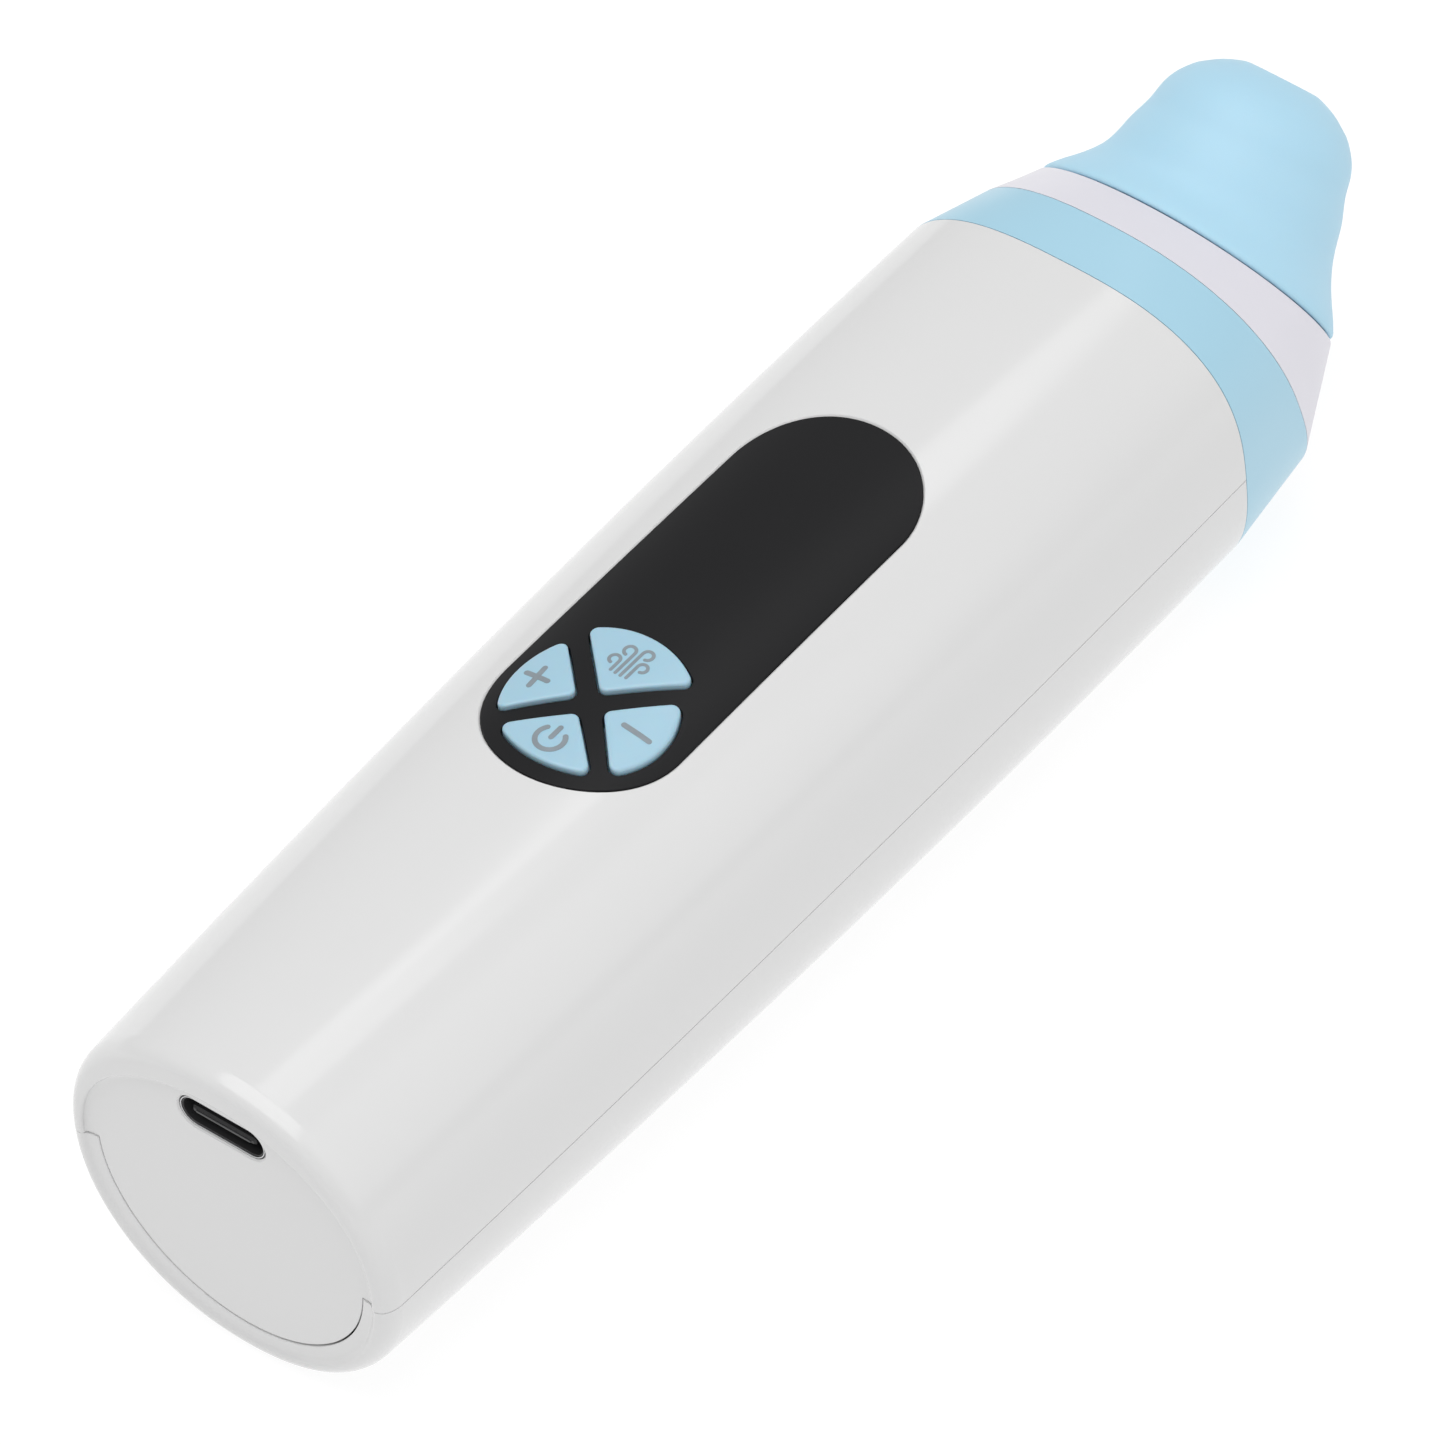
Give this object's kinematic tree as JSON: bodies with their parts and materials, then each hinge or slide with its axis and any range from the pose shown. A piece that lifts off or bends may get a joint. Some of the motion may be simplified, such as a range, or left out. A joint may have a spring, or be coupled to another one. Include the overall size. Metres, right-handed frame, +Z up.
{
  "type": "nasal aspirator",
  "caption": "Cordless electric nasal aspirator: tapered oval handle with display panel and push buttons, tilted collection cup and a soft domed silicone nozzle.",
  "frame": {"origin": "on the plane it lies on, under the middle of its bounding box", "axes": "+X from the tail to the nozzle, +Y to the left of the display, +Z up, out of the display"},
  "size_m": [0.146, 0.0376, 0.0349],
  "materials": {
    "body": "satin-gloss white ABS",
    "blue_collar": "smooth satin pale-blue ABS",
    "cup_white": "smooth satin white PP",
    "blue_silicone": "matte pale-blue silicone",
    "black_panel": "satin black lens",
    "button_blue": "glossy pale-blue keycaps",
    "board_green": "solder-masked FR4",
    "bright_steel": "plain bright steel",
    "dark_resin": "black resin",
    "grey_pom": "natural POM",
    "cell_wrap": "PVC shrink wrap over the cell can",
    "magnet_iron": "ferrite and lamination steel",
    "commutator_copper": "bare copper segments",
    "black_rubber": "moulded rubber",
    "white_felt": "pressed felt",
    "lead_red": "PVC insulation",
    "lead_black": "PVC insulation"
  },
  "bodies": {
    "handle": {"front_shell": "body", "rear_shell": "body", "collar_ring": "blue_collar", "inlet_hose": "blue_silicone", "display_panel": "black_panel", "main_board": "board_green", "usb_shell": "bright_steel", "switch_body_suction": "bright_steel", "switch_body_plus": "bright_steel", "switch_body_power": "bright_steel", "switch_body_minus": "bright_steel", "board_screw_1": "bright_steel", "board_screw_2": "bright_steel", "board_screw_3": "bright_steel", "board_screw_4": "bright_steel", "motor_can": "bright_steel", "usb_tongue": "dark_resin", "display_module": "dark_resin", "controller_chip": "dark_resin", "charger_chip": "dark_resin", "boost_inductor": "dark_resin", "motor_endcap": "dark_resin", "battery_tray": "grey_pom", "pump_base": "grey_pom", "wobble_plate": "grey_pom", "valve_plate": "grey_pom", "pump_cover": "grey_pom", "inlet_bulkhead": "grey_pom", "battery_cell": "cell_wrap", "motor_magnet_left": "magnet_iron", "motor_magnet_right": "magnet_iron", "pump_sleeve": "black_rubber", "diaphragm": "black_rubber", "filter_felt": "white_felt", "battery_lead_plus": "lead_red", "motor_lead_left": "lead_red", "battery_lead_minus": "lead_black", "motor_lead_right": "lead_black"},
    "key_suction": {"button_suction": "button_blue", "switch_plunger_suction": "dark_resin"},
    "key_plus": {"button_plus": "button_blue", "switch_plunger_plus": "dark_resin"},
    "key_power": {"button_power": "button_blue", "switch_plunger_power": "dark_resin"},
    "key_minus": {"button_minus": "button_blue", "switch_plunger_minus": "dark_resin"},
    "rotor": {"motor_shaft": "bright_steel", "rotor_core": "magnet_iron", "commutator": "commutator_copper", "eccentric_hub": "grey_pom", "drive_pin": "bright_steel"},
    "cup": {"collection_cup": "cup_white", "cup_seal": "black_rubber"},
    "nozzle": {"nozzle_tip": "blue_silicone"}
  },
  "joints": [
    {"name": "suction_press", "type": "slide", "parent": "handle", "child": "key_suction", "axis": [0, 0, -1], "range_m": [0, 0.0005], "stiffness_N_per_m": 600, "springref_m": -0.0005},
    {"name": "plus_press", "type": "slide", "parent": "handle", "child": "key_plus", "axis": [0, 0, -1], "range_m": [0, 0.0005], "stiffness_N_per_m": 600, "springref_m": -0.0005},
    {"name": "power_press", "type": "slide", "parent": "handle", "child": "key_power", "axis": [0, 0, -1], "range_m": [0, 0.0005], "stiffness_N_per_m": 600, "springref_m": -0.0005},
    {"name": "minus_press", "type": "slide", "parent": "handle", "child": "key_minus", "axis": [0, 0, -1], "range_m": [0, 0.0005], "stiffness_N_per_m": 600, "springref_m": -0.0005},
    {"name": "motor_spin", "type": "hinge", "parent": "handle", "child": "rotor", "pos_m": [-0.01398, 0, 0.01332], "axis": [1, 0, 0], "continuous": true},
    {"name": "cup_pull", "type": "slide", "parent": "handle", "child": "cup", "axis": [0.9732, 0, 0.23], "range_m": [0, 0.02]},
    {"name": "nozzle_pull", "type": "slide", "parent": "cup", "child": "nozzle", "axis": [0.8918, 0, 0.4524], "range_m": [0, 0.015]}
  ]
}
